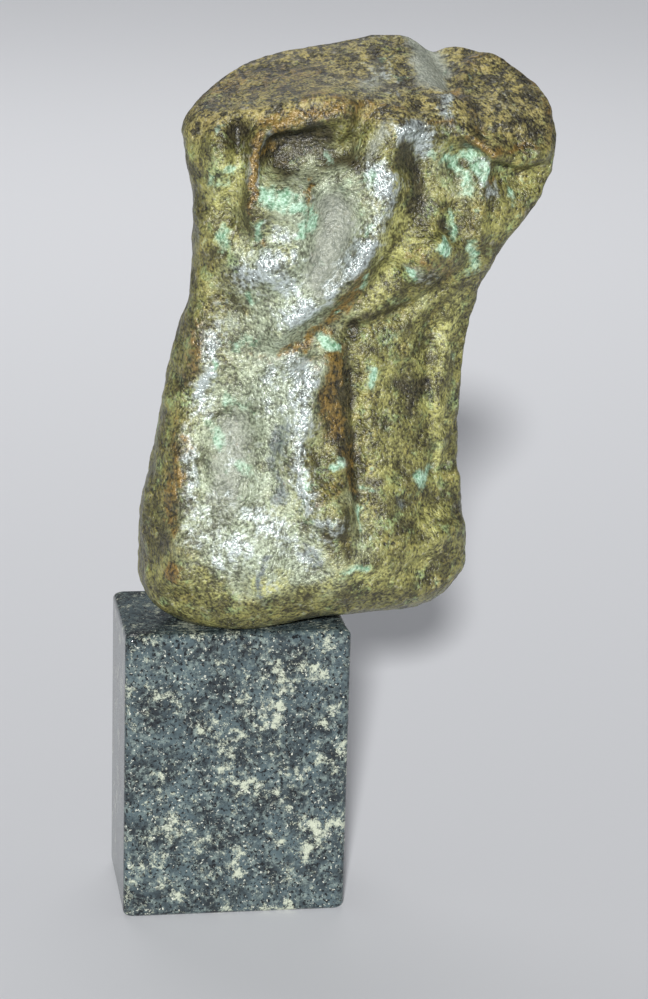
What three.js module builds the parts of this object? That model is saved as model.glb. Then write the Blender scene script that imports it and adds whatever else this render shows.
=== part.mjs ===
// A cast bronze torso, broken off at the neck, arms and thighs, on a polished granite block.
// Millimetres, +Z up, the figure's front towards -Y. The origin is the centre of the block's underside.
import * as THREE from "three";

// ---- driving dimensions --------------------------------------------------------------------------

const INCH = 25.4;
const BLOCK = { width: 3 * INCH, depth: 2 * INCH, height: 4 * INCH, arris: 2.4, arrisSteps: 4 };
const SEAT_GAP = 0.3;
const SEAT = BLOCK.height + SEAT_GAP;

// How far the bronze reaches at each level, from its underside (0) to the broken top (1).
const REACH = [
  // level, left, right, front, back
  [0, -31.5, 79, -30.5, 17],
  [0.1, -32.2, 79.2, -34, 20],
  [0.2, -32.2, 76.8, -33, 20.5],
  [0.3, -28.8, 75.5, -30, 19],
  [0.44, -24.2, 76, -25.5, 15],
  [0.56, -20.6, 78, -23, 13],
  [0.66, -16.2, 82, -26, 14],
  [0.75, -15.2, 88.5, -28.5, 16],
  [0.86, -16.8, 100.8, -26.5, 17],
  [0.94, -19.8, 104.4, -24.5, 16.5],
  [1, -19.8, 105, -24, 16],
];

// How far the front stands out (+) or turns back (-): a blunt keel right of the middle, the right half
// turned away from it, more so on the belly than on the chest.
const FRONT_TURN = [
  // across, on the belly, on the chest
  [-34, -3, -1.5],
  [-20, -2, -1.5],
  [0, 0, 0],
  [20, 2, 1],
  [33, 3.5, 2.5],
  [41, 1.5, 2],
  [55, -3.5, 0.5],
  [70, -9, -3],
  [90, -12, -5],
];
const CHEST_FROM = 200;
const CHEST_FULL = 232;

// The broken top slopes down to the front: its height along the front edge and along the back edge.
const TOP_FRONT_Y = -24;
const TOP_BACK_Y = 15;
const TOP_EDGES = [
  // across, height in front, height behind
  [-20, 270, 276],
  [-10, 271, 281.5],
  [0, 273, 287],
  [12, 277, 290.5],
  [22, 280, 292],
  [37, 278.5, 294.5],
  [47, 276.5, 296],
  [57, 275, 296],
  [63, 274, 295],
  [70, 271, 294.5],
  [78, 267.5, 294],
  [86, 265.5, 293],
  [94, 263, 291],
  [105, 260, 287],
];

// The underside stands flat on the block behind; in front its lip rises to the right.
const UNDERSIDE = [
  // across, height over the seat in front, height over the seat behind
  [-34, 0, 0],
  [2, 0, 0],
  [14, 1.8, 0],
  [32, 4.6, 0],
  [46, 5.6, 1],
  [60, 6.2, 2.5],
  [80, 9, 5],
];
const LIP_Y = -24;
const HEEL_Y = -8;

const SECTION_POWER = 2.7; // 2 is an ellipse, larger is boxier
const FOOT_TURN = { inward: 0.36, up: 0.1 }; // rounding where the wall turns under
const RIM_TURN = { inward: 0.12, down: 0.045 }; // rounding round the broken top
const WALL_SCALES = [0.8, 1]; // the carving fades in over these scales of the section
const WALL_LEVELS = [0.01, 0.12]; // over these levels above the underside
const CARVED_SHARES = [0.25, 0.8]; // and from the side of the section to its front or back

// Swells (+) and hollows (-) of the front: where, half width, half height, tilt, how far out, edge power.
const FRONT_SWELLS = [
  // name, across, up, half width, half height, tilt in degrees, out, power
  ["left shoulder lobe", -11, 262, 7.5, 12, 0, 4.5, 1.3],
  ["pocket beside the lobe", -3, 268, 4.5, 5, 20, -3.5, 1.2],
  ["hollow under the left collar bone", 18, 262, 15, 7.5, 10, -7, 2],
  ["upper left breast", 10, 247, 9.5, 7.5, 10, 4, 1.4],
  ["nick in the shoulder fold", 3, 235, 4, 3.5, 0, -2.5, 1],
  ["outer left breast", 10, 226, 10, 8, 0, 4, 1.2],
  ["hollow of the left breast", 27, 238, 7.5, 13, -8, -5, 1.6],
  ["right of the neck", 49, 269, 8, 8, 0, 4, 1.2],
  ["hollow beside the right arm", 68, 256, 6, 8, 0, -3.5, 1.2],
  ["boss under the right arm", 76, 258, 4.5, 4.5, 0, 2.5, 1],
  ["hollow under the right arm", 68, 240, 6, 7, 0, -2.5, 1],
  ["right breast", 60, 228, 13, 9, -15, 4.5, 1.3],
  ["upper belly", 15, 183, 13, 11, 0, 4, 1.3],
  ["left waist hollow", -5, 212, 6, 9, 25, -2.5, 1.2],
  ["left waist lump", -13, 193, 6, 7, 0, 3, 1.3],
  ["hollow of the left hip", -3, 162, 8.5, 19, -3, -5, 1.7],
  ["knob beside the crease", 31, 161, 4.5, 4, 0, 2.2, 1],
  ["low belly", -3, 133, 20, 13, 0, 3.5, 1.3],
  ["under the crease", 26, 142, 8, 9, 0, 2, 1],
  ["right hip", 69, 131, 8, 9, 0, 5, 1.3],
  ["hollow over the right hip", 68, 150, 7, 9, 0, -2.5, 1.2],
  ["right groin", 54, 131, 9, 12, 0, 2, 1],
  ["right waist", 54, 182, 9, 12, 0, -1.5, 1],
];

// Ridges (+) and creases (-) of the front: path of points across and up, half width, how far out.
const FRONT_CRESTS = [
  ["groove beside the lobe", [[-3, 262], [-3, 254], [-6, 240]], 3.5, -2.5],
  ["shoulder fold", [[3, 267], [1, 255], [0, 247], [3, 238]], 3.5, 3.5],
  ["edge of the left breast",
    [[44, 260], [44, 250], [41, 239], [36, 229], [27, 219], [15, 209], [11, 203]], 5, 4.2],
  ["crease under the left breast",
    [[46, 225], [38, 216], [30, 208], [22, 201], [14, 196], [8, 195]], 4.5, -3.5],
  ["valley of the chest", [[54, 263], [57, 252], [54, 240], [49, 226]], 5.5, -4],
  ["break in the neck", [[38, 279], [35, 270], [31, 262]], 3.5, -3.2],
  ["right arm fold", [[81, 264], [78, 257], [76, 246], [76, 236]], 3.5, 2.8],
  ["edge of the right breast", [[37, 204], [50, 209], [62, 217], [74, 227]], 4, -3.2],
  ["left hip edge", [[-15, 206], [-18, 190], [-21, 172], [-21, 150], [-20, 124]], 4.5, 3],
  ["ridge left of the crease", [[22, 194], [20, 178], [15, 168], [20, 156], [28, 146]], 5, 3.2],
  ["middle crease", [[34, 203], [36, 186], [37, 168], [38, 154], [39, 142]], 4.5, -4.5],
  ["lower rim of the stump", [[71, 269], [79, 263], [89, 260], [100, 262]], 3.5, 2.8],
  ["under the stump's rim", [[73, 260], [82, 254], [92, 251], [101, 253]], 4, -2.8],
  ["right edge", [[70, 206], [68, 192], [67, 178]], 3.5, 2.5],
  ["groove inside the right edge", [[64, 200], [62, 184], [62, 170]], 3.5, -1.8],
  ["crease over the right foot edge", [[38, 121], [52, 121], [62, 124], [70, 129]], 3.5, -2],
];

// The back is plainer: spine, shoulder blades and seat, pushed out (+) or in (-).
const BACK_SWELLS = [
  ["left shoulder blade", 10, 246, 17, 20, 10, 3, 1],
  ["right shoulder blade", 72, 246, 17, 20, -10, 3, 1],
  ["small of the back", 32, 195, 22, 18, 0, -2.5, 1],
  ["left buttock", 0, 133, 20, 21, 0, 4.5, 1],
  ["right buttock", 49, 133, 20, 21, 0, 4.5, 1],
];
const BACK_CRESTS = [
  ["spine", [[42, 272], [38, 235], [30, 195], [25, 165]], 5, -3],
  ["cleft", [[25, 160], [24, 135], [25, 112]], 4, -4.5],
];

// Relief of the broken top, its rows as those of the front but across and back, and up.
const TOP_SWELLS = [
  ["dish of the neck", 28, -4, 24, 11, 0, -1.2, 2],
  ["back of the neck", 46, 6, 9, 8, 0, 1.2, 1],
  ["lump beside the stump", 67, -14, 4, 6, 0, 2.5, 1],
];
const TOP_CRESTS = [
  ["notch behind", [[65, 18], [68, 2], [69, -6]], 4.5, -3.2],
  ["crack in front", [[52, -26], [57, -19], [62, -20]], 3, -1.2],
];

// The ring round the broken end of the right arm: its middle, half width, half depth, width and height.
const STUMP = { across: 87, back: -7, halfWidth: 15, halfDepth: 17, ring: 0.1, rise: 0.9 };

// Unevenness of the hand-modelled wax: size of the lumps and how far out.
const LUMPS = [
  [15, 1.1],
  [7.5, 0.7],
];

const AROUND = 90;
const ROWS = { under: 5, foot: 6, wall: 30, rim: 3, top: 8 };

// ---- small helpers -------------------------------------------------------------------------------

const clamp01 = (value) => Math.min(1, Math.max(0, value));

function ease(from, to, value) {
  const share = clamp01((value - from) / (to - from));
  return share * share * (3 - 2 * share);
}

// A smooth curve through rows sorted by their first value: cubic, its slope at a row being the mean
// slope between its neighbours.
function through(rows, column, value) {
  const last = rows.length - 1;
  const at = Math.min(rows[last][0], Math.max(rows[0][0], value));
  let i = 0;
  while (i < last - 1 && at > rows[i + 1][0]) i += 1;
  const slope = (k) => {
    const below = rows[Math.max(0, k - 1)];
    const above = rows[Math.min(last, k + 1)];
    return (above[column] - below[column]) / (above[0] - below[0]);
  };
  const span = rows[i + 1][0] - rows[i][0];
  const t = (at - rows[i][0]) / span;
  const start = rows[i][column] * (1 + 2 * t) * (1 - t) ** 2 + slope(i) * span * t * (1 - t) ** 2;
  const end = rows[i + 1][column] * (3 - 2 * t) * t ** 2 - slope(i + 1) * span * (1 - t) * t ** 2;
  return start + end;
}

function distanceToPath(path, x, z) {
  let nearest = Infinity;
  for (let i = 0; i + 1 < path.length; i += 1) {
    const [ax, az] = path[i];
    const dx = path[i + 1][0] - ax;
    const dz = path[i + 1][1] - az;
    const share = clamp01(((x - ax) * dx + (z - az) * dz) / (dx * dx + dz * dz));
    nearest = Math.min(nearest, Math.hypot(x - ax - share * dx, z - az - share * dz));
  }
  return nearest;
}

// ---- the torso -----------------------------------------------------------------------------------

function relief(swells, crests, x, z) {
  let out = 0;
  for (const [, across, up, halfWidth, halfHeight, tilt, far, power] of swells) {
    const turn = THREE.MathUtils.degToRad(tilt);
    const a = ((x - across) * Math.cos(turn) + (z - up) * Math.sin(turn)) / halfWidth;
    const b = ((z - up) * Math.cos(turn) - (x - across) * Math.sin(turn)) / halfHeight;
    out += far * Math.exp(-((a * a + b * b) ** power));
  }
  for (const [, path, half, far] of crests) {
    out += far * Math.exp(-((distanceToPath(path, x, z) / half) ** 2));
  }
  return out;
}

function topHeight(x, y) {
  const share = (y - TOP_FRONT_Y) / (TOP_BACK_Y - TOP_FRONT_Y);
  const front = through(TOP_EDGES, 1, x);
  const back = through(TOP_EDGES, 2, x);
  const fromRing = Math.hypot((x - STUMP.across) / STUMP.halfWidth, (y - STUMP.back) / STUMP.halfDepth) - 1;
  const ring = STUMP.rise * Math.exp(-((fromRing / STUMP.ring) ** 2));
  return front + share * (back - front) + relief(TOP_SWELLS, TOP_CRESTS, x, y) + ring;
}

// Smooth noise from -1 to 1: a scrambled value at each corner of a cubic lattice, blended between corners.
function latticeNoise(x, y, z, cell) {
  const low = [x, y, z].map((value) => Math.floor(value / cell));
  const blend = [x, y, z].map((value, axis) => ease(0, 1, value / cell - low[axis]));
  let total = 0;
  for (let corner = 0; corner < 8; corner += 1) {
    const step = [corner & 1, (corner >> 1) & 1, corner >> 2];
    const [i, j, k] = step.map((one, axis) => low[axis] + one);
    const mixed = Math.sin(i * 127.1 + j * 311.7 + k * 74.7) * 43758.5453;
    const share = step.reduce((product, one, axis) => product * (one ? blend[axis] : 1 - blend[axis]), 1);
    total += share * (2 * (mixed - Math.floor(mixed)) - 1);
  }
  return total;
}

// One point of the skin. angle runs round the body from the right side, by the back; scale shrinks the
// section towards its middle on the underside and the top; level runs up the wall.
function skinPoint(angle, scale, level) {
  const power = 2 / SECTION_POWER;
  const sideways = Math.sign(Math.cos(angle)) * Math.abs(Math.cos(angle)) ** power;
  const backward = Math.sign(Math.sin(angle)) * Math.abs(Math.sin(angle)) ** power;
  const left = through(REACH, 1, level);
  const right = through(REACH, 2, level);
  const front = through(REACH, 3, level);
  const back = through(REACH, 4, level);
  let x = (left + right) / 2 + (scale * sideways * (right - left)) / 2;
  let y = (front + back) / 2 + (scale * backward * (back - front)) / 2;
  const heel = ease(LIP_Y, HEEL_Y, y);
  const foot = SEAT + (1 - heel) * through(UNDERSIDE, 1, x) + heel * through(UNDERSIDE, 2, x);
  const z = foot + level * (topHeight(x, y) - foot);

  const onWall = ease(...WALL_SCALES, scale) * ease(...WALL_LEVELS, level);
  const turned = onWall * ease(0, 1, -backward);
  const frontness = onWall * ease(...CARVED_SHARES, -backward);
  const backness = onWall * ease(...CARVED_SHARES, backward);
  const chest = ease(CHEST_FROM, CHEST_FULL, z);
  const keel = (1 - chest) * through(FRONT_TURN, 1, x) + chest * through(FRONT_TURN, 2, x);
  y -= turned * keel + frontness * relief(FRONT_SWELLS, FRONT_CRESTS, x, z);
  y += backness * relief(BACK_SWELLS, BACK_CRESTS, x, z);
  const lump = onWall * LUMPS.reduce((sum, [cell, out]) => sum + out * latticeNoise(x, y, z, cell), 0);
  return [x + lump * sideways, y + lump * backward, z];
}

// Scale and level of each ring: out along the underside, round the foot, up the wall, round the rim
// and in along the top. The first and last are single points.
function rings(rows) {
  const list = [];
  const stretch = (count, ring) => {
    for (let i = 0; i < count; i += 1) list.push(ring(i / count));
  };
  const wall = 1 - FOOT_TURN.up - RIM_TURN.down;
  stretch(rows.under, (f) => [f * (1 - FOOT_TURN.inward), 0]);
  stretch(rows.foot, (f) => [
    1 - FOOT_TURN.inward * (1 - Math.sin((f * Math.PI) / 2)),
    FOOT_TURN.up * (1 - Math.cos((f * Math.PI) / 2)),
  ]);
  stretch(rows.wall, (f) => [1, FOOT_TURN.up + f * wall]);
  stretch(rows.rim, (f) => [
    1 - RIM_TURN.inward * (1 - Math.cos((f * Math.PI) / 2)),
    1 - RIM_TURN.down * (1 - Math.sin((f * Math.PI) / 2)),
  ]);
  stretch(rows.top, (f) => [(1 - f) * (1 - RIM_TURN.inward), 1]);
  list.push([0, 1]);
  return list;
}

// Distance between two of the listed points.
function apart(positions, a, b) {
  const along = [0, 1, 2].map((k) => positions[3 * a + k] - positions[3 * b + k]);
  return Math.hypot(...along);
}

// The skin as a grid of rings, each four-sided cell split along its shorter diagonal.
function torsoGeometry() {
  const list = rings(ROWS);
  const last = list.length - 1;
  const positions = [];
  positions.push(...skinPoint(0, 0, 0));
  for (let row = 1; row < last; row += 1) {
    for (let i = 0; i < AROUND; i += 1) {
      positions.push(...skinPoint((2 * Math.PI * i) / AROUND, ...list[row]));
    }
  }
  positions.push(...skinPoint(0, 0, 1));

  const pointOf = (row, i) => 1 + (row - 1) * AROUND + (i % AROUND);
  const topPole = 1 + (last - 1) * AROUND;
  const faces = [];
  for (let i = 0; i < AROUND; i += 1) {
    faces.push(0, pointOf(1, i + 1), pointOf(1, i));
    faces.push(pointOf(last - 1, i), pointOf(last - 1, i + 1), topPole);
  }
  for (let row = 1; row < last - 1; row += 1) {
    for (let i = 0; i < AROUND; i += 1) {
      const [a, b] = [pointOf(row, i), pointOf(row, i + 1)];
      const [c, d] = [pointOf(row + 1, i + 1), pointOf(row + 1, i)];
      if (apart(positions, a, c) < apart(positions, b, d)) faces.push(a, b, c, a, c, d);
      else faces.push(a, b, d, b, c, d);
    }
  }
  const geometry = new THREE.BufferGeometry();
  geometry.setAttribute("position", new THREE.Float32BufferAttribute(positions, 3));
  geometry.setIndex(faces);
  geometry.computeVertexNormals();
  return geometry;
}

// ---- the block -----------------------------------------------------------------------------------

function blockGeometry() {
  const { width, depth, height, arris, arrisSteps } = BLOCK;
  const [x, y] = [width / 2, depth / 2];
  const outline = new THREE.Shape();
  outline.moveTo(-x + arris, -y);
  outline.lineTo(x - arris, -y);
  outline.absarc(x - arris, -y + arris, arris, -Math.PI / 2, 0);
  outline.lineTo(x, y - arris);
  outline.absarc(x - arris, y - arris, arris, 0, Math.PI / 2);
  outline.lineTo(-x + arris, y);
  outline.absarc(-x + arris, y - arris, arris, Math.PI / 2, Math.PI);
  outline.lineTo(-x, -y + arris);
  outline.absarc(-x + arris, -y + arris, arris, Math.PI, 1.5 * Math.PI);
  const geometry = new THREE.ExtrudeGeometry(outline, {
    depth: height - 2 * arris,
    curveSegments: arrisSteps,
    bevelEnabled: true,
    bevelThickness: arris,
    bevelSize: arris - 0.2,
    bevelOffset: 0.2 - arris,
    bevelSegments: arrisSteps,
  });
  geometry.translate(0, 0, arris);
  return geometry;
}

// ---- the work ------------------------------------------------------------------------------------

const bronze = new THREE.MeshStandardMaterial({ color: "#6f6a35", roughness: 0.45, metalness: 0.9 });
const granite = new THREE.MeshStandardMaterial({ color: "#2b3136", roughness: 0.2, metalness: 0 });

const torso = new THREE.Mesh(torsoGeometry(), bronze);
torso.name = "bronze_torso";

const block = new THREE.Mesh(blockGeometry(), granite);
block.name = "granite_plinth";

const group = new THREE.Group();
group.name = "bronze_torso_sculpture";
group.add(torso, block);

export default group;
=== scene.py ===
import math

import bpy
import numpy as np
from mathutils import Euler, Matrix, Vector


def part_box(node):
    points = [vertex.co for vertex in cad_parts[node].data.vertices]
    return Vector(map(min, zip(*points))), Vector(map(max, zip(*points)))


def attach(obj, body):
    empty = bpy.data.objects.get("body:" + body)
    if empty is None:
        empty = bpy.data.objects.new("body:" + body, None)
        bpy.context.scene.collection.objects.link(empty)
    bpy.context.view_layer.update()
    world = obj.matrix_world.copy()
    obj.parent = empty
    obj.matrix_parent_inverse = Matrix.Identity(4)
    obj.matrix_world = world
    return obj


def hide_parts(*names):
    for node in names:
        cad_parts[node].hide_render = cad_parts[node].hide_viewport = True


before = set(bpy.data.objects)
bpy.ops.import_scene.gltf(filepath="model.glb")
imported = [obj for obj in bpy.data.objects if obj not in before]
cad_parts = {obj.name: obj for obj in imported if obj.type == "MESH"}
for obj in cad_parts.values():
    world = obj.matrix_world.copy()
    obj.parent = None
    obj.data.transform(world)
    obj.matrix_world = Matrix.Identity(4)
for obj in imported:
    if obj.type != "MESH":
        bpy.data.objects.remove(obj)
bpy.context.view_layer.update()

MM = 0.001

# ---- sizes from the frame, in millimetres --------------------------------------------------------

block_low, block_high = (np.array(corner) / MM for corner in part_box("granite_plinth"))
torso_low, torso_high = (np.array(corner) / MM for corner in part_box("bronze_torso"))
SEAT = torso_low[2]

# ---- the torso's form: the same values as the solid's, in millimetres ----------------------------

REACH = np.array([
    # level, left, right, front, back
    [0.0, -31.5, 79, -30.5, 17],
    [0.1, -32.2, 79.2, -34, 20],
    [0.2, -32.2, 76.8, -33, 20.5],
    [0.3, -28.8, 75.5, -30, 19],
    [0.44, -24.2, 76, -25.5, 15],
    [0.56, -20.6, 78, -23, 13],
    [0.66, -16.2, 82, -26, 14],
    [0.75, -15.2, 88.5, -28.5, 16],
    [0.86, -16.8, 100.8, -26.5, 17],
    [0.94, -19.8, 104.4, -24.5, 16.5],
    [1.0, -19.8, 105, -24, 16],
])
# How far the front stands out (+) or turns back (-): a blunt keel right of the middle, the right half
# turned away, more so on the belly than on the chest.
FRONT_TURN = np.array([
    # across, on the belly, on the chest
    [-34, -3, -1.5],
    [-20, -2, -1.5],
    [0, 0, 0],
    [20, 2, 1],
    [33, 3.5, 2.5],
    [41, 1.5, 2],
    [55, -3.5, 0.5],
    [70, -9, -3],
    [90, -12, -5],
])
CHEST_FROM, CHEST_FULL = 200, 232
TOP_FRONT_Y = -24
TOP_BACK_Y = 15
TOP_EDGES = np.array([
    # across, height in front, height behind
    [-20, 270, 276],
    [-10, 271, 281.5],
    [0, 273, 287],
    [12, 277, 290.5],
    [22, 280, 292],
    [37, 278.5, 294.5],
    [47, 276.5, 296],
    [57, 275, 296],
    [63, 274, 295],
    [70, 271, 294.5],
    [78, 267.5, 294],
    [86, 265.5, 293],
    [94, 263, 291],
    [105, 260, 287],
])
# The underside stands flat on the block behind; in front its lip rises to the right.
UNDERSIDE = np.array([
    # across, height over the seat in front, behind
    [-34, 0, 0],
    [2, 0, 0],
    [14, 1.8, 0],
    [32, 4.6, 0],
    [46, 5.6, 1],
    [60, 6.2, 2.5],
    [80, 9, 5],
])
LIP_Y, HEEL_Y = -24, -8
SECTION_POWER = 2.7
FOOT_TURN = (0.36, 0.1)  # inward, up
RIM_TURN = (0.12, 0.045)  # inward, down
WALL_SCALES, WALL_LEVELS = (0.8, 1), (0.01, 0.12)  # where the carving fades in on the wall
CARVED_SHARES = (0.25, 0.8)  # and from the side of the section to its front or back

# Each row: across, up, half width, half height, tilt in degrees, how far out, edge power.
FRONT_SWELLS = {
    "left shoulder lobe": (-11, 262, 7.5, 12, 0, 4.5, 1.3),
    "pocket beside the lobe": (-3, 268, 4.5, 5, 20, -3.5, 1.2),
    "hollow under the left collar bone": (18, 262, 15, 7.5, 10, -7, 2),
    "upper left breast": (10, 247, 9.5, 7.5, 10, 4, 1.4),
    "nick in the shoulder fold": (3, 235, 4, 3.5, 0, -2.5, 1),
    "outer left breast": (10, 226, 10, 8, 0, 4, 1.2),
    "hollow of the left breast": (27, 238, 7.5, 13, -8, -5, 1.6),
    "right of the neck": (49, 269, 8, 8, 0, 4, 1.2),
    "hollow beside the right arm": (68, 256, 6, 8, 0, -3.5, 1.2),
    "boss under the right arm": (76, 258, 4.5, 4.5, 0, 2.5, 1),
    "hollow under the right arm": (68, 240, 6, 7, 0, -2.5, 1),
    "right breast": (60, 228, 13, 9, -15, 4.5, 1.3),
    "upper belly": (15, 183, 13, 11, 0, 4, 1.3),
    "left waist hollow": (-5, 212, 6, 9, 25, -2.5, 1.2),
    "left waist lump": (-13, 193, 6, 7, 0, 3, 1.3),
    "hollow of the left hip": (-3, 162, 8.5, 19, -3, -5, 1.7),
    "knob beside the crease": (31, 161, 4.5, 4, 0, 2.2, 1),
    "low belly": (-3, 133, 20, 13, 0, 3.5, 1.3),
    "under the crease": (26, 142, 8, 9, 0, 2, 1),
    "right hip": (69, 131, 8, 9, 0, 5, 1.3),
    "hollow over the right hip": (68, 150, 7, 9, 0, -2.5, 1.2),
    "right groin": (54, 131, 9, 12, 0, 2, 1),
    "right waist": (54, 182, 9, 12, 0, -1.5, 1),
}
# Each row: path of points across and up, half width, how far out.
FRONT_CRESTS = {
    "groove beside the lobe": ([(-3, 262), (-3, 254), (-6, 240)], 3.5, -2.5),
    "shoulder fold": ([(3, 267), (1, 255), (0, 247), (3, 238)], 3.5, 3.5),
    "edge of the left breast":
        ([(44, 260), (44, 250), (41, 239), (36, 229), (27, 219), (15, 209), (11, 203)], 5, 4.2),
    "crease under the left breast":
        ([(46, 225), (38, 216), (30, 208), (22, 201), (14, 196), (8, 195)], 4.5, -3.5),
    "valley of the chest": ([(54, 263), (57, 252), (54, 240), (49, 226)], 5.5, -4),
    "break in the neck": ([(38, 279), (35, 270), (31, 262)], 3.5, -3.2),
    "right arm fold": ([(81, 264), (78, 257), (76, 246), (76, 236)], 3.5, 2.8),
    "edge of the right breast": ([(37, 204), (50, 209), (62, 217), (74, 227)], 4, -3.2),
    "left hip edge": ([(-15, 206), (-18, 190), (-21, 172), (-21, 150), (-20, 124)], 4.5, 3),
    "ridge left of the crease": ([(22, 194), (20, 178), (15, 168), (20, 156), (28, 146)], 5, 3.2),
    "middle crease": ([(34, 203), (36, 186), (37, 168), (38, 154), (39, 142)], 4.5, -4.5),
    "lower rim of the stump": ([(71, 269), (79, 263), (89, 260), (100, 262)], 3.5, 2.8),
    "under the stump's rim": ([(73, 260), (82, 254), (92, 251), (101, 253)], 4, -2.8),
    "right edge": ([(70, 206), (68, 192), (67, 178)], 3.5, 2.5),
    "groove inside the right edge": ([(64, 200), (62, 184), (62, 170)], 3.5, -1.8),
    "crease over the right foot edge": ([(38, 121), (52, 121), (62, 124), (70, 129)], 3.5, -2),
}
BACK_SWELLS = {
    "left shoulder blade": (10, 246, 17, 20, 10, 3, 1),
    "right shoulder blade": (72, 246, 17, 20, -10, 3, 1),
    "small of the back": (32, 195, 22, 18, 0, -2.5, 1),
    "left buttock": (0, 133, 20, 21, 0, 4.5, 1),
    "right buttock": (49, 133, 20, 21, 0, 4.5, 1),
}
BACK_CRESTS = {
    "spine": ([(42, 272), (38, 235), (30, 195), (25, 165)], 5, -3),
    "cleft": ([(25, 160), (24, 135), (25, 112)], 4, -4.5),
}
# The broken top, rows as for the front but across and back, and up.
TOP_SWELLS = {
    "dish of the neck": (28, -4, 24, 11, 0, -1.2, 2),
    "back of the neck": (46, 6, 9, 8, 0, 1.2, 1),
    "lump beside the stump": (67, -14, 4, 6, 0, 2.5, 1),
}
TOP_CRESTS = {
    "notch behind": ([(65, 18), (68, 2), (69, -6)], 4.5, -3.2),
    "crack in front": ([(52, -26), (57, -19), (62, -20)], 3, -1.2),
}
STUMP_FACE = (87, -7, 15, 17)  # across, back, half width, half depth
STUMP_RING = (0.1, 0.9)  # the ring raised along its rim: width as a share of the face, height
LUMPS = [(15, 1.1), (7.5, 0.7)]  # cell, how far out
SCRAMBLE, SCRAMBLE_GAIN = np.array([127.1, 311.7, 74.7]), 43758.5453  # what makes the noise's values
OCTAVE_SHIFT, OCTAVE_RATIO = 7.3, 2.03

AROUND = 400
ROWS = {"under": 10, "foot": 20, "wall": 160, "rim": 16, "top": 40}

# ---- what only the skin has: finer forms, then the patina's marks and the painted highlights and shade, in millimetres ---

# Each row: path of points across and up, half width, how far out.
FINE_CRESTS = {
    "lip of the shoulder fold": ([(10, 271), (3, 268), (1, 255), (0, 246)], 1.6, 1.2),
    "cut behind the shoulder fold": ([(-3, 270), (-2, 258), (-3, 246)], 1.5, -0.9),
    "collar edge over the hollow": ([(6, 270), (18, 272), (29, 276)], 2, 1.1),
    "under the collar edge": ([(8, 266), (20, 268), (30, 271)], 2, -1.2),
    "bottom of the break in the neck": ([(38, 278), (35, 270), (32, 262)], 1.4, -1.4),
    "bottom of the middle crease": ([(36, 190), (37, 168), (38, 150), (39, 143)], 1.6, -0.9),
    "stump's lip": ([(73, 267), (81, 261), (90, 258), (99, 260)], 1.5, 0.9),
    "under the stump's lip": ([(75, 262), (83, 257), (92, 254), (100, 256)], 1.6, -1.1),
    "crest of the arm fold": ([(80, 262), (78, 256), (76, 247)], 1.4, 0.8),
    "crest of the right breast's edge": ([(40, 208), (52, 213), (63, 221)], 1.8, 0.6),
    "mint nub": ([(62.5, 234), (63, 233)], 2.2, 1.4),
    "pit over the nub": ([(64, 238), (65, 239)], 1.8, -0.9),
    "knob beside the crease": ([(29, 162), (32, 161)], 1.8, 0.7),
    "patch on the left breast": ([(1, 244), (8, 250), (15, 247), (20, 240)], 3, 0.6),
    "torn edge under the patch": ([(2, 243), (6, 236), (15, 234)], 1.2, -0.7),
    "crack below the notch": ([(50, 268), (57, 269), (64, 271)], 1.0, -0.7),
    "plate edge on the left thigh": ([(-14, 160), (-13, 146), (-17, 141), (-22, 137)], 1.0, -0.6),
    "thin ridge of the left thigh": ([(-16, 134), (-9, 135), (-6, 133)], 0.9, 0.5),
    "small pit of the left thigh": ([(-11, 146), (-11, 145.5)], 1.1, -0.5),
    "dull crease beside the hollow": ([(11, 175), (8, 160), (8, 152)], 2.2, -0.8),
    "rounded edge of the left hip": ([(-19, 186), (-20, 178), (-11, 174), (-6, 178)], 1.1, 0.5),
    "crack under the hip plate": ([(-16, 177), (-10, 174), (-4, 176)], 0.9, -0.6),
    "right groove": ([(65, 162), (65, 154)], 1.4, -0.9),
    "right rib": ([(68, 163), (67, 152)], 1.2, 0.7),
    "crack over the right foot": ([(52, 122), (60, 125), (66, 130)], 1.0, -0.5),
    "lower rib of the left breast": ([(4, 212), (12, 213), (19, 216)], 1.4, 0.5),
    "fold in the armpit": ([(75, 247), (76, 238), (73, 231)], 1.2, -0.8),
}

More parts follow.
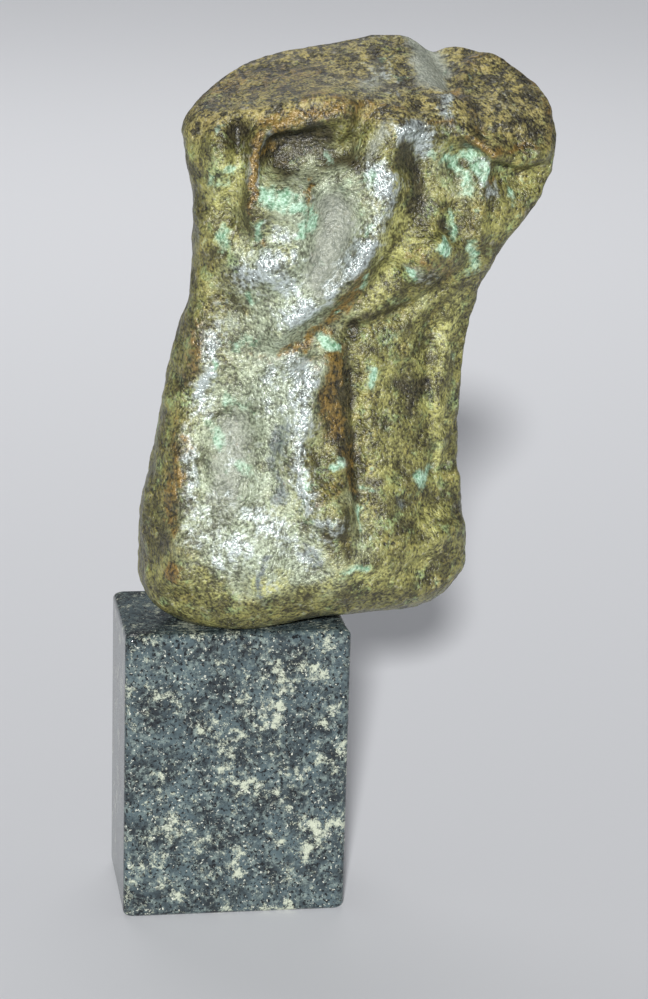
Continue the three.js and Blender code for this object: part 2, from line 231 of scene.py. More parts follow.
# Each row: path of points across and up, half width, strength.
FRONT_MARKS = {
    "verdigris": [
        ([(62.5, 232.5), (63.5, 231)], 2.4, 1.6),
        ([(4, 250), (10, 249)], 3.2, 1.2),
        ([(14, 248), (19, 247)], 3, 1.1),
        ([(17, 236), (18, 245)], 2, 1.0),
        ([(20, 246), (20, 240)], 1.3, 1.2),
        ([(-7, 255), (-5, 258)], 1.6, 1.0),
        ([(-12, 252), (-7, 251)], 2.2, 0.7),
        ([(-10, 270), (-7, 271)], 1.6, 0.8),
        ([(-8, 236), (-7, 231)], 3, 1.0),
        ([(4, 240), (3, 236)], 1.6, 0.8),
        ([(28, 262), (29, 261)], 1.5, 0.9),
        ([(30, 251), (38, 256)], 3.5, 0.6),
        ([(37, 243), (37, 238)], 2, 0.6),
        ([(61, 263), (62, 262)], 1.5, 0.8),
        ([(67, 261), (71, 253)], 3, 1.0),
        ([(73, 262), (76, 256)], 2.6, 0.9),
        ([(67, 242), (68, 236)], 1.4, 1.0),
        ([(73, 231), (76, 224)], 2.6, 0.8),
        ([(86, 248), (88, 245)], 1.8, 0.7),
        ([(53, 225), (54, 224)], 1.5, 1.1),
        ([(37, 218), (39, 221)], 1.5, 1.2),
        ([(2, 217), (3, 215)], 1.4, 0.8),
        ([(30, 210), (31, 211)], 1.2, 0.9),
        ([(26, 202), (27, 199)], 2, 1.3),
        ([(29, 198), (32, 199)], 1.7, 1.1),
        ([(-1, 200), (4, 202)], 3, 0.7),
        ([(42, 191), (42, 186)], 1.6, 1.2),
        ([(71, 195), (72, 190)], 1.6, 0.7),
        ([(-11, 194), (-10, 192)], 1.4, 1.0),
        ([(-3, 181), (2, 178)], 3, 0.6),
        ([(-8, 172), (-6, 166)], 3, 0.7),
        ([(-2, 160), (0, 155)], 3, 0.4),
        ([(60, 153), (63, 155)], 2.2, 1.1),
        ([(29, 161), (31, 162)], 1.7, 1.2),
        ([(20, 156), (18, 160)], 2, 0.6),
        ([(38, 150), (38, 140)], 0.9, 0.9),
        ([(41, 153), (42, 152)], 1.4, 0.8),
        ([(42, 137), (43, 136)], 1.6, 0.6),
        ([(33, 125), (40, 127)], 1.8, 0.8),
        ([(17, 150), (19, 145)], 2.4, 0.5),
        ([(45, 195), (53, 206)], 2, 0.3),
    ],
    "rust": [
        ([(3, 271), (10, 272), (20, 275), (28, 278)], 2.4, 1.0),
        ([(2, 268), (1, 255), (0, 246)], 1.4, 1.2),
        ([(4, 263), (8, 264)], 1.4, 0.9),
        ([(18, 254), (20, 244)], 1.0, 1.1),
        ([(3, 237), (5, 234)], 1.3, 0.9),
        ([(2, 197), (10, 195), (14, 197)], 3, 0.5),
        ([(58, 273), (66, 272)], 1.3, 0.9),
        ([(72, 268), (79, 262)], 1.4, 0.9),
        ([(77, 256), (80, 253)], 1.1, 1.1),
        ([(80, 263), (88, 262), (96, 263)], 1.6, 1.0),
        ([(38, 222), (33, 213), (26, 206), (19, 200), (13, 197)], 2.6, 1.0),
        ([(55, 230), (68, 222)], 4, 0.5),
        ([(30, 197), (27, 184), (30, 172)], 3.6, 0.9),
        ([(24, 200), (22, 194)], 2.4, 0.5),
        ([(34, 165), (36, 152)], 2.6, 0.9),
        ([(30, 155), (24, 152)], 3, 0.5),
        ([(-14, 206), (-17, 198), (-19, 188), (-20, 182)], 2.2, 1.1),
        ([(-21, 176), (-22, 160), (-23, 140)], 2.2, 1.0),
        ([(-22, 126), (-22, 121)], 1.5, 1.5),
        ([(-12, 203), (-9, 201)], 1.6, 0.7),
        ([(-20, 170), (-18, 165)], 2, 0.8),
        ([(60, 275), (64, 282)], 2, 0.6),
    ],
    # Darker patina in the hollows and creases, together with painted shade under overhangs, along the crease
    # and down the left flank.
    "dark": [
        ([(-4, 270), (-3, 266)], 2.2, 1.2),
        # Darker patina and painted shade in the hollow under the collar's overhanging rim.
        ([(6, 263), (12, 267), (24, 268)], 5, 1.2),
        ([(12, 259), (22, 262), (33, 260)], 5, 1.0),
        ([(34, 268), (30, 258)], 3, 0.6),
        ([(50, 264), (55, 256), (57, 246)], 4.5, 1.1),
        ([(-17, 200), (-20, 186), (-22, 168), (-23, 146)], 2.6, 0.9),
        ([(45, 240), (50, 232)], 3.5, 0.4),
        ([(72, 265), (80, 264)], 2, 0.8),
        ([(63, 240), (66, 237)], 1.7, 1.2),
        ([(2, 241), (3, 233)], 1.6, 0.7),
        ([(-3, 224), (-8, 216)], 4, 0.5),
        ([(-16, 214), (-12, 206)], 3, 0.6),
        # Painted shade along the middle crease and under the right breast's edge, over a darker patina.
        ([(36, 207), (34, 186), (36, 168), (38, 150)], 2.6, 1.0),
        ([(31, 194), (31, 180), (34, 166)], 5, 1.1),
        ([(40, 208), (48, 203)], 3, 0.8),
        ([(52, 186), (60, 183), (58, 176)], 3.2, 0.9),
        ([(63, 204), (65, 200)], 2, 0.8),
        ([(40, 155), (44, 156)], 2.2, 0.9),
        ([(36, 214), (42, 210)], 2, 0.5),
        ([(50, 144), (52, 136)], 2, 0.7),
        ([(65, 165), (65, 154)], 1.3, 0.8),
        ([(69, 225), (62, 218)], 1.8, 0.6),
        ([(45, 124), (50, 125)], 1.5, 0.6),
        ([(24, 120), (30, 121)], 1.5, 0.4),
        # Painted shade down the left flank, the side turned from the light.
        ([(-25, 190), (-26, 170), (-28, 150), (-29, 130)], 5, 1.0),
        ([(-8, 220), (-5, 214), (0, 206)], 3, 0.5),
    ],
    "blue_grey": [
        ([(8, 132), (4, 124), (5, 114)], 1.9, 1.0),
        ([(19, 135), (23, 130)], 3, 0.8),
        ([(11, 174), (9, 158), (12, 150)], 2.2, 0.8),
        ([(-8, 212), (-3, 206)], 4, 0.5),
        ([(26, 209), (30, 205)], 2, 0.4),
        ([(52, 150), (54, 146)], 1.6, 0.7),
    ],
    "dust": [
        ([(28, 244), (27, 232), (24, 222)], 6.5, 1.2),
        ([(44, 272), (38, 262)], 2.2, 0.8),
        ([(52, 226), (56, 225)], 2.2, 0.7),
        ([(-3, 172), (-5, 150)], 7, 0.8),
        ([(8, 196), (16, 191)], 4, 0.5),
    ],
    "crust": [
        ([(6, 122), (20, 118), (34, 121), (46, 124)], 5, 0.9),
        ([(-16, 126), (-6, 118)], 5, 0.6),
        ([(52, 120), (62, 128), (66, 140)], 7, 0.6),
        ([(50, 246), (54, 234), (46, 224), (42, 212)], 5, 0.8),
        ([(58, 202), (62, 190), (68, 170)], 5, 0.6),
        ([(73, 214), (69, 198), (68, 178), (68, 158)], 4, 0.8),
        ([(48, 190), (50, 170), (48, 150)], 5, 0.5),
        ([(-6, 258), (-9, 246), (-8, 232)], 5, 0.9),
        ([(10, 240), (12, 228)], 5, 0.5),
        ([(30, 250), (34, 232)], 3, 0.4),
        ([(48, 252), (47, 240), (42, 228), (37, 219)], 2.6, 0.9),
    ],
    # Painted highlights: pale grey-white glints where the front faces the light (shoulder fold, the left
    # breast's edge, the facets by the neck, left hip and belly), on a worn, glossier and more metallic
    # finish.
    "rubbed": [
        ([(1, 254), (2, 263), (8, 268)], 2, 1.3),
        ([(41, 257), (43, 251)], 5, 1.3),
        ([(42, 244), (40, 238)], 3.5, 0.8),
        ([(37, 232), (34, 226)], 5, 1.3),
        ([(29, 221), (26, 218)], 4, 1.1),
        ([(18, 213), (14, 209)], 5, 1.1),
        ([(50, 269), (54, 271), (58, 265)], 4, 1.4),
        ([(64, 279), (66, 274)], 2, 1.1),
        ([(75, 260), (79, 250)], 2.6, 0.8),
        ([(2, 224), (8, 228), (12, 222)], 6, 1.0),
        ([(6, 240), (12, 236)], 3, 0.7),
        ([(-11, 202), (-13, 190), (-12, 180)], 5, 1.0),
        ([(17, 194), (19, 187), (19, 174)], 5, 1.0),
        ([(14, 172), (16, 160), (20, 150)], 4, 0.9),
        ([(8, 190), (10, 180)], 6, 0.6),
        ([(-14, 144), (-9, 138), (-4, 132)], 7, 0.7),
        ([(4, 146), (12, 140), (20, 132)], 6, 0.6),
        ([(22, 142), (28, 140)], 4, 0.8),
        ([(-18, 168), (-17, 150)], 3, 0.8),
        ([(31, 163), (33, 162)], 1.6, 0.9),
        ([(56, 224), (60, 222)], 3, 0.5),
    ],
    # A paler grey-green ground over the left front: partly a paler patina, partly painted sheen where that
    # side faces the light.
    "pale": [
        ([(24, 245), (14, 225), (12, 205), (8, 185), (-2, 160), (-4, 140), (10, 130)], 22, 1.0),
        ([(35, 150), (38, 130), (10, 118)], 10, 0.5),
        ([(12, 126), (26, 122)], 8, 1.0),
        ([(26, 130), (36, 128)], 7, 0.5),
        ([(-10, 262), (-9, 250)], 6, 0.4),
        ([(66, 257), (72, 250)], 8, 0.5),
        ([(69, 200), (68, 190)], 4, 0.5),
        ([(58, 210), (64, 216)], 5, 0.25),
    ],
}
# The same on the broken top, the paths across and back.
TOP_MARKS = {
    "dust": [
        ([(62, 15), (64, 4), (62, -6)], 6, 1.3),
        ([(40, -12), (46, -4)], 5, 0.6),
    ],
    "dark": [
        ([(-16, 8), (-6, 17), (6, 21), (22, 23), (40, 23), (56, 21)], 5, 1.6),
        ([(87, -8), (89, -6)], 2.5, 1.0),
        ([(8, -5), (16, -8)], 4, 0.5),
        ([(45, 2), (47, 0)], 3, 0.8),
        ([(76, -20), (73, -8), (78, 6)], 2, 0.8),
        ([(78, 6), (87, 10), (98, 5), (102, -7)], 2, 0.8),
    ],
    "rust": [
        ([(20, -21), (34, -23), (50, -22)], 2.5, 0.6),
        ([(68, -12), (70, -6)], 2, 1.2),
        ([(-8, 2), (8, -2), (22, -4)], 9, 0.5),
    ],
    # Painted highlights on the facets beside the neck that face the light, on a worn, glossier finish.
    "rubbed": [
        ([(64, -20), (67, -14)], 3, 0.9),
        ([(38, -6), (48, -4)], 3, 0.5),
    ],
    "verdigris": [
        ([(50, -9), (50, -7)], 2, 0.5),
    ],
    "pale": [
        ([(78, -5), (92, -10)], 10, 0.5),
        ([(30, -8), (45, -12)], 10, 0.9),
    ],
}
KNOT_CELL, KNOT_OCTAVES, KNOT_RISE = 5, 3, 0.42
GRAIN_CELL, GRAIN_RISE = 1.9, 0.1
SMOOTH_OVER_SEAT = 4  # height over the seat in which knots and grain fade in
SKIN_IN = 0.1  # how far the skin lies inside the solid's own form
RUBBED_TOPS, DARK_PITS = 0.45, 0.28  # how much the knots' tops are made brighter, as wear and as painted highlight, and pits stay dark
MARK_DRIFT, DRIFT_CELL, DRIFT_OCTAVES = 2.2, 7, 4  # how a mark's outline wanders
DRIFT_SHIFTS = (40, 90)
TOP_LEVELS = (0.93, 0.995)  # where the wall's colours give way to those of the broken top
RING_RUST = (1.02, 0.12, 0.5)  # round the stump's face: where, how wide, how strong
UNWORN_DARK = 0.35  # how dark the flanks and the back are

BLOCK_ARRIS = 2.4
BLOCK_CORNER_STEPS = 8
SUPPORT = 0.5  # from a rounding's end to the line that keeps the face beside it flat


# ---- helpers on whole arrays ---------------------------------------------------------------------

def ease(start, end, value):
    """Smooth step from 0 at start to 1 at end: three times the share squared, less twice its cube."""
    share = np.clip((value - start) / (end - start), 0, 1)
    return share * share * (3 - 2 * share)


def through(rows, column, value):
    """Cubic curve through the rows' points, its slope at a row the mean slope between its neighbours."""
    x, y = rows[:, 0], rows[:, column]
    slope = np.empty(len(x))
    slope[1:-1] = (y[2:] - y[:-2]) / (x[2:] - x[:-2])
    slope[0] = (y[1] - y[0]) / (x[1] - x[0])
    slope[-1] = (y[-1] - y[-2]) / (x[-1] - x[-2])
    value = np.clip(value, x[0], x[-1])
    i = np.clip(np.searchsorted(x, value, side="right") - 1, 0, len(x) - 2)
    span = x[i + 1] - x[i]
    t = (value - x[i]) / span
    start = y[i] * (1 + 2 * t) * (1 - t) ** 2 + slope[i] * span * t * (1 - t) ** 2
    end = y[i + 1] * (3 - 2 * t) * t**2 - slope[i + 1] * span * (1 - t) * t**2
    return start + end


def distance_to_path(path, x, z):
    """Distance of each point from the nearest of the path's straight stretches."""
    nearest = np.full(np.shape(x), np.inf)
    for (ax, az), (bx, bz) in zip(path, path[1:]):
        dx, dz = bx - ax, bz - az
        share = np.clip(((x - ax) * dx + (z - az) * dz) / (dx * dx + dz * dz), 0, 1)
        nearest = np.minimum(nearest, np.hypot(x - ax - share * dx, z - az - share * dz))
    return nearest


def swell(row, x, z):
    """A turned oval mound, out * exp(-(r squared) ** power), r being 1 at the half width and height."""
    across, up, half_width, half_height, tilt, out, power = row
    turn = math.radians(tilt)
    a = ((x - across) * math.cos(turn) + (z - up) * math.sin(turn)) / half_width
    b = ((z - up) * math.cos(turn) - (x - across) * math.sin(turn)) / half_height
    return out * np.exp(-((a * a + b * b) ** power))


def crest(row, x, z):
    """A ridge or crease with a bell-shaped section along a path."""
    path, half, out = row
    return out * np.exp(-((distance_to_path(path, x, z) / half) ** 2))


def relief(swells, crests, x, z):
    """How far all the mounds and ridges of two tables stand out together."""
    mounds = sum(swell(row, x, z) for row in swells.values())
    return mounds + sum(crest(row, x, z) for row in crests.values())


def lattice_noise(points, cell):
    """Smooth noise from -1 to 1: a scrambled value at each corner of a cubic lattice of that cell, blended
    between corners by smooth steps."""
    place = points / cell
    low = np.floor(place)
    t = place - low
    t = t * t * (3 - 2 * t)
    total = 0
    for corner in np.ndindex(2, 2, 2):
        share = np.prod(np.where(corner, t, 1 - t), axis=-1)
        mixed = np.sin((low + corner) @ SCRAMBLE) * SCRAMBLE_GAIN
        total = total + share * (2 * (mixed - np.floor(mixed)) - 1)
    return total


def cloud(points, cell, octaves):
    """Lattice noise with finer copies of itself, each about half the cell and half as strong."""
    return sum(lattice_noise(points + OCTAVE_SHIFT * n, cell / OCTAVE_RATIO**n) / 2**n
               for n in range(octaves))


def into_scene(name, data):
    """A new object in the scene that shows this mesh, lamp or camera."""
    made = bpy.data.objects.new(name, data)
    bpy.context.scene.collection.objects.link(made)
    return made


# ---- the torso's skin ----------------------------------------------------------------------------

def from_stump(x, y):
    """Distance from the middle of the stump's oval face in half widths and half depths, 1 on its rim."""
    across, back, half_width, half_depth = STUMP_FACE
    return np.hypot((x - across) / half_width, (y - back) / half_depth)


def top_height(x, y):
    """Height of the broken top: a straight slope from the back edge's curve down to the front edge's, with
    its relief and the ring along the stump's rim."""
    share = (y - TOP_FRONT_Y) / (TOP_BACK_Y - TOP_FRONT_Y)
    front = through(TOP_EDGES, 1, x)
    back = through(TOP_EDGES, 2, x)
    width, rise = STUMP_RING
    ring = rise * np.exp(-(((from_stump(x, y) - 1) / width) ** 2))
    return front + share * (back - front) + relief(TOP_SWELLS, TOP_CRESTS, x, y) + ring


def rings(rows):
    """Scale and level of each ring: out along the underside, round the foot, up the wall, round the rim,
    in along the top. The foot and the rim are quarter turns."""
    inward, up = FOOT_TURN
    rim_inward, down = RIM_TURN
    f = {name: np.arange(count) / count for name, count in rows.items()}
    quarter = {name: f[name] * np.pi / 2 for name in f}
    scale = np.concatenate([
        f["under"] * (1 - inward),
        1 - inward * (1 - np.sin(quarter["foot"])),
        np.ones(rows["wall"]),
        1 - rim_inward * (1 - np.cos(quarter["rim"])),
        (1 - f["top"]) * (1 - rim_inward),
        [0],
    ])
    level = np.concatenate([
        np.zeros(rows["under"]),
        up * (1 - np.cos(quarter["foot"])),
        up + f["wall"] * (1 - up - down),
        1 - down * (1 - np.sin(quarter["rim"])),
        np.ones(rows["top"] + 1),
    ])
    return scale, level


def torso_form(angle, scale, level):
    """The solid's own form. Each level's section is a superellipse between the four reaches; the front
    and back are pushed out along Y by their relief."""
    power = 2 / SECTION_POWER
    sideways = np.sign(np.cos(angle)) * np.abs(np.cos(angle)) ** power
    backward = np.sign(np.sin(angle)) * np.abs(np.sin(angle)) ** power
    left, right, front, back = (through(REACH, column, level) for column in (1, 2, 3, 4))
    x = (left + right) / 2 + scale * sideways * (right - left) / 2
    y = (front + back) / 2 + scale * backward * (back - front) / 2
    heel = ease(LIP_Y, HEEL_Y, y)
    foot = SEAT + (1 - heel) * through(UNDERSIDE, 1, x) + heel * through(UNDERSIDE, 2, x)
    z = foot + level * (top_height(x, y) - foot)
    on_wall = ease(*WALL_SCALES, scale) * ease(*WALL_LEVELS, level)
    turned = on_wall * ease(0, 1, -backward)
    frontness = on_wall * ease(*CARVED_SHARES, -backward)
    backness = on_wall * ease(*CARVED_SHARES, backward)
    chest = ease(CHEST_FROM, CHEST_FULL, z)
    keel = (1 - chest) * through(FRONT_TURN, 1, x) + chest * through(FRONT_TURN, 2, x)
    y = y - turned * keel - frontness * relief(FRONT_SWELLS, FRONT_CRESTS, x, z)
    y = y + backness * relief(BACK_SWELLS, BACK_CRESTS, x, z)
    lump = sum(out * lattice_noise(np.stack([x, y, z], axis=-1), cell) for cell, out in LUMPS) * on_wall
    return np.stack([x + lump * sideways, y + lump * backward, z], axis=-1), frontness


def grid_normals(points):
    """Outward unit normals of a grid whose columns close on themselves: the step along each ring crossed
    with the step to the next one."""
    up = np.gradient(points, axis=0)
    along = np.roll(points, -1, axis=1) - np.roll(points, 1, axis=1)
    normal = np.cross(along, up)
    return normal / np.maximum(np.linalg.norm(normal, axis=-1, keepdims=True), 1e-9)


def grid_mesh(name, points, attributes):
    """Closed mesh from rings of points, the first and last ring being one point each."""
    rows, around = points.shape[:2]
    middle = points[1:-1].reshape(-1, 3)
    vertices = np.concatenate([points[:1, 0], middle, points[-1:, 0]]) * MM
    i = np.arange(around)
    j = (i + 1) % around
    last = 1 + (rows - 3) * around
    pole = len(vertices) - 1
    under = np.stack([np.zeros_like(i), 1 + j, 1 + i], axis=1)
    over = np.stack([last + i, last + j, np.full_like(i, pole)], axis=1)
    start = 1 + np.arange(rows - 3)[:, None] * around
    quads = np.stack([start + i, start + j, start + around + j, start + around + i], axis=-1)
    faces = under.tolist() + quads.reshape(-1, 4).tolist() + over.tolist()
    mesh = bpy.data.meshes.new(name)
    mesh.from_pydata(vertices.tolist(), [], faces)
    mesh.polygons.foreach_set("use_smooth", np.ones(len(mesh.polygons), bool))
    for title, values in attributes.items():
        flat = np.concatenate([values[:1, 0], values[1:-1].ravel(), values[-1:, 0]])
        layer = mesh.attributes.new(title, "FLOAT", "POINT")
        layer.data.foreach_set("value", flat.astype(np.float32))
    mesh.update()
    return into_scene(name, mesh)


def stains(rows, x, z):
    """Strength of the marks at each point, bell-shaped across each path, the strongest mark winning."""
    strength = np.zeros(np.shape(x))
    for path, half, peak in rows:
        strength = np.maximum(strength, peak * np.exp(-((distance_to_path(path, x, z) / half) ** 2)))
    return strength


def make_torso():
    """The solid's form with knots, grain and the finer crests, and the marks as attributes of its points."""
    scale, level = rings(ROWS)
    angle = 2 * np.pi * np.arange(AROUND) / AROUND
    points, frontness = torso_form(angle[None, :], scale[:, None], level[:, None])
    normal = grid_normals(points)
    x, y, z = np.moveaxis(points, -1, 0)
    knots = cloud(points, KNOT_CELL, KNOT_OCTAVES)
    grain = KNOT_RISE * knots + GRAIN_RISE * lattice_noise(points, GRAIN_CELL)
    grain = grain + frontness * sum(crest(row, x, z) for row in FINE_CRESTS.values())
    clear = ease(0, SMOOTH_OVER_SEAT, z - SEAT)
    points = points + (clear * grain - SKIN_IN)[..., None] * normal
    points = np.clip(points, torso_low, torso_high)
    on_top = np.broadcast_to(ease(*TOP_LEVELS, level[:, None]), z.shape)
    drift, lift = (MARK_DRIFT * cloud(points + shift, DRIFT_CELL, DRIFT_OCTAVES) for shift in DRIFT_SHIFTS)
    attributes = {}
    for name, rows in FRONT_MARKS.items():
        attributes[name] = frontness * stains(rows, x + drift, z + lift)
    for name, rows in TOP_MARKS.items():
        attributes[name] = np.maximum(attributes[name], on_top * stains(rows, x + drift, y + lift))
    at, width, strength = RING_RUST
    ring = on_top * strength * np.exp(-(((from_stump(x, y) - at) / width) ** 2))
    attributes["rust"] = np.maximum(attributes["rust"], ring)
    attributes["dark"] = np.maximum(attributes["dark"], UNWORN_DARK * (1 - frontness) * (1 - on_top))
    # Knot tops in the paler zone made brighter: wear, and painted highlight.
    attributes["rubbed"] += RUBBED_TOPS * attributes["pale"] * knots
    attributes["dark"] -= DARK_PITS * knots * (1 - np.minimum(attributes["rubbed"], 1))
    attributes["knots"] = knots
    attributes["top"] = on_top
    return grid_mesh("torso_skin", points, attributes)


torso = make_torso()
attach(torso, "root")
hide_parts("bronze_torso")


# ---- the block -----------------------------------------------------------------------------------

def make_block():
    """A rounded box as a grid: a rectangle with quarter-round corners, drawn in along the underside and
    the top and round the arrises above and below. Support points by each corner keep the faces flat."""
    half = (block_high - block_low) / 2
    middle = (block_high + block_low) / 2
    turn = np.linspace(0, np.pi / 2, BLOCK_CORNER_STEPS + 1)
    across, back, level = [], [], []
    for k, (sx, sy) in enumerate([(1, 1), (-1, 1), (-1, -1), (1, -1)]):
        angle = turn + k * np.pi / 2
        corner_x, corner_y = sx * (half[0] - BLOCK_ARRIS), sy * (half[1] - BLOCK_ARRIS)
        before = [-math.sin(angle[0]), math.cos(angle[0])]
        after = [-math.sin(angle[-1]), math.cos(angle[-1])]
        arc_x = corner_x + BLOCK_ARRIS * np.cos(angle)
        arc_y = corner_y + BLOCK_ARRIS * np.sin(angle)
        across += [arc_x[0] - SUPPORT * before[0], *arc_x, arc_x[-1] + SUPPORT * after[0]]
        back += [arc_y[0] - SUPPORT * before[1], *arc_y, arc_y[-1] + SUPPORT * after[1]]
    across, back = np.array(across), np.array(back)
    arc_in = BLOCK_ARRIS * (1 - np.sin(turn))
    arc_up = BLOCK_ARRIS * (1 - np.cos(turn))
    inset = np.concatenate([[BLOCK_ARRIS + SUPPORT], arc_in, [0]])
    rise = np.concatenate([[0], arc_up, [BLOCK_ARRIS + SUPPORT]])
    ring_list = [np.stack([0 * across, 0 * back, np.full(len(across), -half[2])], axis=1)]
    for step, height in zip(inset, rise):
        squeeze = 1 - step / half[:2]
        ring_list.append(np.stack([across * squeeze[0], back * squeeze[1],
                                   np.full(len(across), height - half[2])], axis=1))
    lower = np.array(ring_list)
    upper = lower[::-1] * np.array([1, 1, -1])
    return grid_mesh("plinth_skin", np.concatenate([lower, upper]) + middle, {})


block = make_block()
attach(block, "root")
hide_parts("granite_plinth")


# ---- materials -----------------------------------------------------------------------------------

def rgba(hex_code):
    """Linear colour from an sRGB hex code."""
    channels = [int(hex_code[i:i + 2], 16) / 255 for i in (1, 3, 5)]
    return [c / 12.92 if c <= 0.04045 else ((c + 0.055) / 1.055) ** 2.4 for c in channels] + [1]


def node(tree, kind, inputs, **settings):
    """Adds a node with its settings; inputs go by name or number, each a socket to link or a plain value."""
    made = tree.nodes.new(kind)
    for key, value in settings.items():
        setattr(made, key, value)
    for key, value in inputs.items():
        if isinstance(value, bpy.types.NodeSocket):
            tree.links.new(value, made.inputs[key])
        else:
            made.inputs[key].default_value = value
    return made


def new_material(name):
    """A new node material, with its tree and its shader."""
    material = bpy.data.materials.new(name)
    material.use_nodes = True
    return material, material.node_tree, material.node_tree.nodes["Principled BSDF"]


# Cast bronze, pickled and left to a green patina, then waxed. To the eye: a yellow-green crust over near
# black metal that shows through it as specks, a worn skin that glitters grey where it catches the light,
# given painted grey-white highlights and a paler painted sheen where the front faces the light, golden brown
# along the edges that hands have worn, chalky mint where verdigris has come up, and painted shade in the
# creases, under the overhangs and down the left flank.
BRONZE_BASE = ("#3a361c", 0.5, 0.3)  # colour, roughness, metallic
# Each layer: the mark that it follows, or None where it lies over the whole; the noise that breaks its
# edge and how much; from, to; its two colours, dark specks and light crust; roughness; metallic.
BRONZE_LAYERS = [
    (None, "mottle", 1.8, 0.0, 1.0, "#1f1c0b", "#a6a45c", 0.5, 0.1),
    (None, "ochre", 3.0, 0.55, 1.1, "#241b0a", "#9f8e42", 0.45, 0.15),
    (None, "moss", 3.0, 0.53, 1.1, "#1f2814", "#9aad74", 0.55, 0.05),
    # Paler patina, with painted sheen where the left front faces the light.
    ("pale", "mottle", 1.8, 0.2, 1.2, "#616755", "#b0bba1", 0.4, 0.2),
    ("crust", "ochre", 3.0, 0.2, 1.2, "#4c4a24", "#bcbb72", 0.6, 0.0),
    ("top", "mottle", 2.4, 0.3, 1.4, "#28220f", "#a89a5e", 0.6, 0.1),
    ("top", "blotch", 5.0, 0.95, 1.3, "#110e07", "#4f4a30", 0.5, 0.1),
    ("dust", "grain", 0.8, 0.15, 1.0, "#757a6e", "#979b8c", 0.55, 0.0),
    # Painted highlights: grey-white where the front faces the light, glossier and more metallic.
    ("rubbed", "grain", 2.6, 0.2, 1.2, "#7c8380", "#ccd7d5", 0.28, 0.5),
    # Darker patina, with painted shade in creases, under overhangs and down the left flank.
    ("dark", "mottle", 2.0, 0.2, 1.1, "#0f0c07", "#48432b", 0.45, 0.15),
    ("blue_grey", "grain", 1.8, 0.2, 1.0, "#363d3d", "#757e7a", 0.5, 0.1),
    ("rust", "grain", 2.4, 0.2, 1.1, "#281e0b", "#8a7138", 0.4, 0.2),
    ("verdigris", "ochre", 2.8, 0.25, 1.2, "#66926f", "#badcc3", 0.6, 0.0),
]
# Noises: size in mm, detail, roughness. The real specks are finer; these are as coarse as they need to show.
BRONZE_NOISES = {
    "speck": (0.95, 2, 0.5),
    "grain": (2.2, 3, 0.6),
    "mottle": (9, 5, 0.65),
    "ochre": (5.2, 5, 0.7),
    "moss": (6.3, 5, 0.7),
    "blotch": (3.6, 4, 0.65),
}
SPECKLE_SHARES = {"speck": 1.0, "grain": 0.7, "mottle": 0.6}
SPECKLE_KNOTS = 0.06  # how much the light crust keeps to the knots
SPECK_SHOWS = (0.94, 1.29)
ALL_OVER = 0.5  # the level of a layer that lies over the whole
BUMP_GRAIN, BUMP_DEPTH = 1.5, 0.6  # weight of the grain beside the specks, depth in mm
WAX, WAX_ROUGHNESS = 0.5, 0.27


def make_bronze():
    """Layers over the base, each with its own dark and light colour, roughness and metal, under wax."""
    bronze, tree, shader = new_material("patinated cast bronze")
    place = node(tree, "ShaderNodeTexCoord", {}).outputs["Object"]
    noises = {}
    for name, (size, detail, rough) in BRONZE_NOISES.items():
        made = node(tree, "ShaderNodeTexNoise",
                    {"Vector": place, "Scale": 1 / (size * MM), "Detail": detail, "Roughness": rough})
        noises[name] = made.outputs["Fac"]
    knots = node(tree, "ShaderNodeAttribute", {}, attribute_name="knots").outputs["Fac"]
    speckle = node(tree, "ShaderNodeMath", {0: knots, 1: SPECKLE_KNOTS}, operation="MULTIPLY").outputs[0]
    for name, share in SPECKLE_SHARES.items():
        speckle = node(tree, "ShaderNodeMath", {0: noises[name], 1: share, 2: speckle},
                       operation="MULTIPLY_ADD").outputs[0]
    speckle = node(tree, "ShaderNodeMapRange",
                   {"Value": speckle, "From Min": SPECK_SHOWS[0], "From Max": SPECK_SHOWS[1]}).outputs[0]
    base, rough, metal = BRONZE_BASE
    colour = rgba(base)
    for mark, breaker, share, start, full, dark, light, layer_rough, layer_metal in BRONZE_LAYERS:
        level = ALL_OVER
        if mark is not None:
            level = node(tree, "ShaderNodeAttribute", {}, attribute_name=mark).outputs["Fac"]
        broken = node(tree, "ShaderNodeMath", {0: noises[breaker], 1: 0.5}, operation="SUBTRACT").outputs[0]
        level = node(tree, "ShaderNodeMath", {0: broken, 1: share, 2: level},
                     operation="MULTIPLY_ADD").outputs[0]
        shown = node(tree, "ShaderNodeMapRange", {"Value": level, "From Min": start, "From Max": full},
                     interpolation_type="SMOOTHSTEP").outputs[0]
        own = node(tree, "ShaderNodeMix", {0: speckle, 6: rgba(dark), 7: rgba(light)},
                   data_type="RGBA").outputs[2]
        colour = node(tree, "ShaderNodeMix", {0: shown, 6: colour, 7: own}, data_type="RGBA").outputs[2]
        rough = node(tree, "ShaderNodeMix", {0: shown, 2: rough, 3: layer_rough}).outputs[0]
        metal = node(tree, "ShaderNodeMix", {0: shown, 2: metal, 3: layer_metal}).outputs[0]
    height = node(tree, "ShaderNodeMath", {0: noises["grain"], 1: BUMP_GRAIN, 2: noises["speck"]},
                  operation="MULTIPLY_ADD").outputs[0]
    bump = node(tree, "ShaderNodeBump", {"Height": height, "Strength": 1.0, "Distance": BUMP_DEPTH * MM})
    tree.links.new(colour, shader.inputs["Base Color"])
    tree.links.new(rough, shader.inputs["Roughness"])
    tree.links.new(metal, shader.inputs["Metallic"])
    tree.links.new(bump.outputs[0], shader.inputs["Normal"])
    tree.links.new(bump.outputs[0], shader.inputs["Coat Normal"])
    shader.inputs["Coat Weight"].default_value = WAX
    shader.inputs["Coat Roughness"].default_value = WAX_ROUGHNESS
    return bronze


torso.data.materials.append(make_bronze())

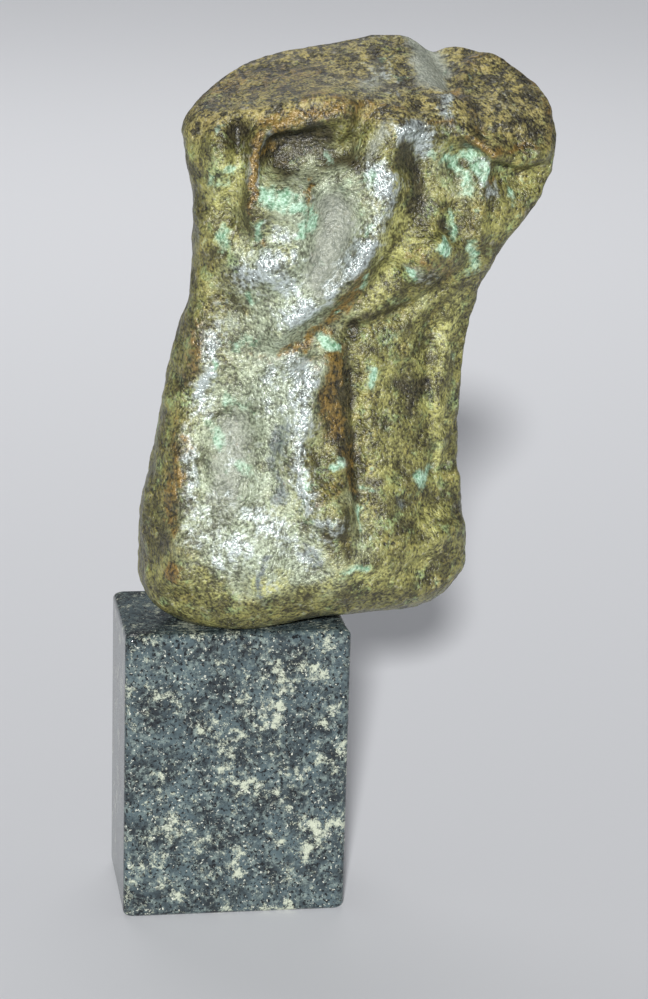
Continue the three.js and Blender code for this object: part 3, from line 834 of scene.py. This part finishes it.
# Black granite, sawn, ground and polished to a gloss. To the eye: a blue-black body with a fine paler sparkle
# and drifts of grey-green feldspar, ragged at their edges, under one clean reflection.
GRANITE_BASE = "#20262a"
# Each layer: size of its noise in mm, detail, roughness of the noise, from, to, colour.
GRANITE_LAYERS = [
    (12, 5, 0.7, 0.35, 0.65, "#4d5c60"),
    (2.4, 4, 0.75, 0.48, 0.68, "#76837e"),
    (1.2, 3, 0.6, 0.53, 0.62, "#12161a"),
    (11, 6, 0.85, 0.545, 0.63, "#b4baa6"),
    (1.0, 3, 0.6, 0.61, 0.72, "#cfd1c2"),
]
LAYER_SHIFT = (0.37, 0.11, 0.23)  # metres from one layer's noise to the next
POLISH = 0.16  # roughness


def make_granite():
    """Layers of grains over the base, each broken by a noise of its own."""
    granite, tree, shader = new_material("polished black granite")
    place = node(tree, "ShaderNodeTexCoord", {}).outputs["Object"]
    colour = rgba(GRANITE_BASE)
    for k, (size, detail, rough, start, full, tint) in enumerate(GRANITE_LAYERS):
        shift = tuple(step * k for step in LAYER_SHIFT)
        shifted = node(tree, "ShaderNodeVectorMath", {0: place, 1: shift}).outputs[0]
        grains = node(tree, "ShaderNodeTexNoise",
                      {"Vector": shifted, "Scale": 1 / (size * MM), "Detail": detail, "Roughness": rough})
        shown = node(tree, "ShaderNodeMapRange",
                     {"Value": grains.outputs["Fac"], "From Min": start, "From Max": full},
                     interpolation_type="SMOOTHSTEP").outputs[0]
        colour = node(tree, "ShaderNodeMix", {0: shown, 6: colour, 7: rgba(tint)},
                      data_type="RGBA").outputs[2]
    tree.links.new(colour, shader.inputs["Base Color"])
    shader.inputs["Roughness"].default_value = POLISH
    return granite


block.data.materials.append(make_granite())


# ---- stage, light and camera ---------------------------------------------------------------------

CAMERA_PLACE = Vector((-0.1193, -0.9027, 0.4026))
CAMERA_YAW = math.radians(9.48)
CAMERA_PITCH = math.radians(15.99)
CAMERA_ROLL = math.radians(1.59)
LENS = 100.9
LONG_SENSOR = 36
FLOOR_HALF = 12.0
PAPER, PAPER_ROUGHNESS = "#d8d9dc", 0.9
KEY_AZIMUTH = math.radians(12)
KEY_ELEVATION = math.radians(22)
KEY_STRENGTH, KEY_SOFTNESS = 4.3, math.radians(4)
OVERHEAD_PLACE = (0, 1.3, 1.5)
OVERHEAD_SIZE, OVERHEAD_POWER = 1.6, 9.5
ROOM, ROOM_STRENGTH = "#cdd0d6", 0.25

camera_data = bpy.data.cameras.new("camera")
camera_data.lens = LENS
camera_data.sensor_width = LONG_SENSOR
camera = into_scene("camera", camera_data)
turn = Euler((math.pi / 2 - CAMERA_PITCH, 0, -CAMERA_YAW)).to_matrix() @ Matrix.Rotation(CAMERA_ROLL, 3, "Z")
camera.matrix_world = Matrix.Translation(CAMERA_PLACE) @ turn.to_4x4()
bpy.context.scene.camera = camera
bpy.context.scene.view_settings.view_transform = "Standard"

corners = [(FLOOR_HALF * x, FLOOR_HALF * y, 0) for x, y in [(-1, -1), (1, -1), (1, 1), (-1, 1)]]
floor_mesh = bpy.data.meshes.new("floor")
floor_mesh.from_pydata(corners, [], [(0, 1, 2, 3)])
floor = into_scene("floor", floor_mesh)
paper, _, shader = new_material("pale paper")
shader.inputs["Base Color"].default_value = rgba(PAPER)
shader.inputs["Roughness"].default_value = PAPER_ROUGHNESS
floor_mesh.materials.append(paper)

key_data = bpy.data.lights.new("key", "SUN")
key_data.energy = KEY_STRENGTH
key_data.angle = KEY_SOFTNESS
key = into_scene("key", key_data)
key.rotation_euler = (math.pi / 2 - KEY_ELEVATION, 0, -KEY_AZIMUTH)

overhead_data = bpy.data.lights.new("overhead", "AREA")
overhead_data.shape = "DISK"
overhead_data.size = OVERHEAD_SIZE
overhead_data.energy = OVERHEAD_POWER
overhead = into_scene("overhead", overhead_data)
overhead.location = OVERHEAD_PLACE

world = bpy.data.worlds.new("studio")
world.use_nodes = True
background = world.node_tree.nodes["Background"]
background.inputs["Color"].default_value = rgba(ROOM)
background.inputs["Strength"].default_value = ROOM_STRENGTH
bpy.context.scene.world = world
